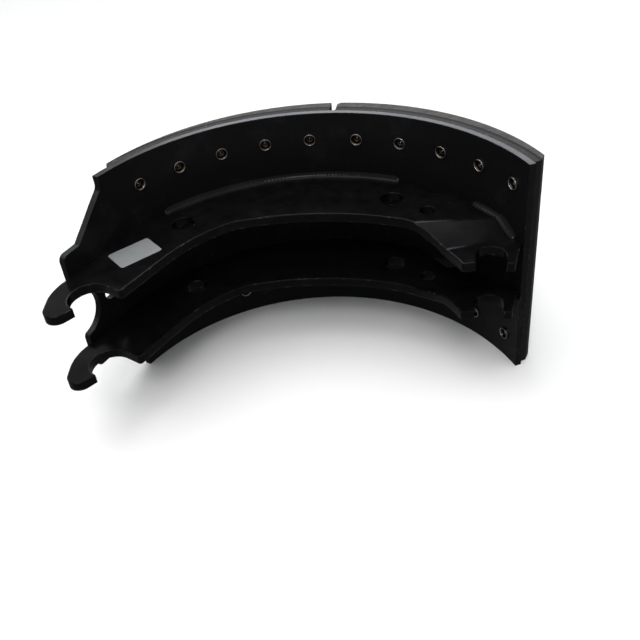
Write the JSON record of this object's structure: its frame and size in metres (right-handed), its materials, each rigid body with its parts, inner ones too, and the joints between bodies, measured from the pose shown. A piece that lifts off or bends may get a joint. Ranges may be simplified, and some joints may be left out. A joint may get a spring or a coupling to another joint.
{
  "type": "drum brake shoe",
  "caption": "Welded drum brake shoe: a curved rim plate with flat tapered nose on joggled webs with half-round anchor and roller seats, and riveted lining blocks.",
  "frame": {"origin": "on the axis of the half-round anchor seats, halfway between the webs", "axes": "+Z along the drum axis, across the width of the shoe; +Y from the drum axis to the middle of the lining; +X from the anchor end to the roller end"},
  "size_m": [0.3769, 0.24, 0.2],
  "materials": {
    "black_paint": "gloss black paint over welded steel plate",
    "friction_lining": "dry ground friction compound, dark grey-brown with pale specks",
    "rivet_steel": "plain dull metal, clinched"
  },
  "bodies": {
    "root": {"shoe_table": "black_paint", "upper_web": "black_paint", "lower_web": "black_paint", "upper_long_weld": "black_paint", "upper_short_weld": "black_paint", "lower_long_weld": "black_paint", "lower_short_weld": "black_paint", "cam_end_lining": "friction_lining", "anchor_end_lining": "friction_lining", "cam_end_upper_rivets": "rivet_steel", "cam_end_lower_rivets": "rivet_steel", "anchor_end_upper_rivets": "rivet_steel", "anchor_end_lower_rivets": "rivet_steel"}
  },
  "joints": []
}
